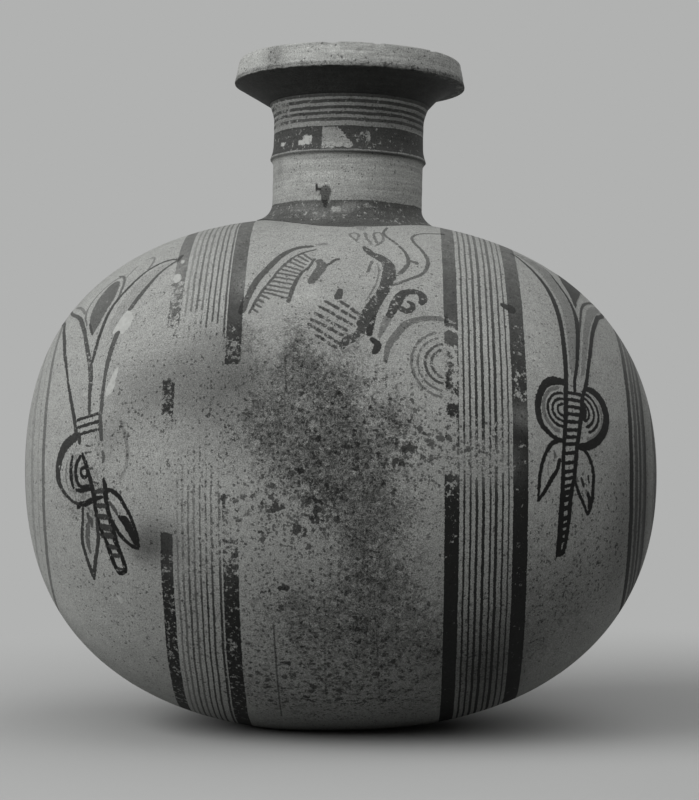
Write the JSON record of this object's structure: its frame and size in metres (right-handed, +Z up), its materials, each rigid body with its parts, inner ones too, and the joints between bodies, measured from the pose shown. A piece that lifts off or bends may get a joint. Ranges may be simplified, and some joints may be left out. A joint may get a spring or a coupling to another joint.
{
  "type": "barrel-shaped pottery jug",
  "caption": "Unglazed pottery jug with a barrel-shaped body lying on its side, a ridged neck, a disc rim and a strap handle at the back; holds and pours liquids.",
  "frame": {"origin": "on the standing surface, at the centre of the footprint of the jug's bounding box", "axes": "+X along the barrel towards its longer end, +Z up towards the mouth; the painted front faces -Y and the handle is at +Y"},
  "size_m": [0.317, 0.26, 0.3389],
  "materials": {
    "barrel_left_clay": "unglazed fired clay, worn dark painted bands and flowers",
    "barrel_right_clay": "unglazed fired clay, dark painted bands and flowers",
    "neck_clay": "unglazed fired clay with dark painted rings",
    "root_slip": "fired clay under matt dark slip",
    "rim_clay": "pitted unglazed fired clay, dark slip underneath",
    "handle_clay": null
  },
  "bodies": {
    "root": {"barrel_left": "barrel_left_clay", "barrel_right": "barrel_right_clay", "neck": "neck_clay", "neck_root_fillet": "root_slip", "rim": "rim_clay", "handle": "handle_clay"}
  },
  "joints": []
}
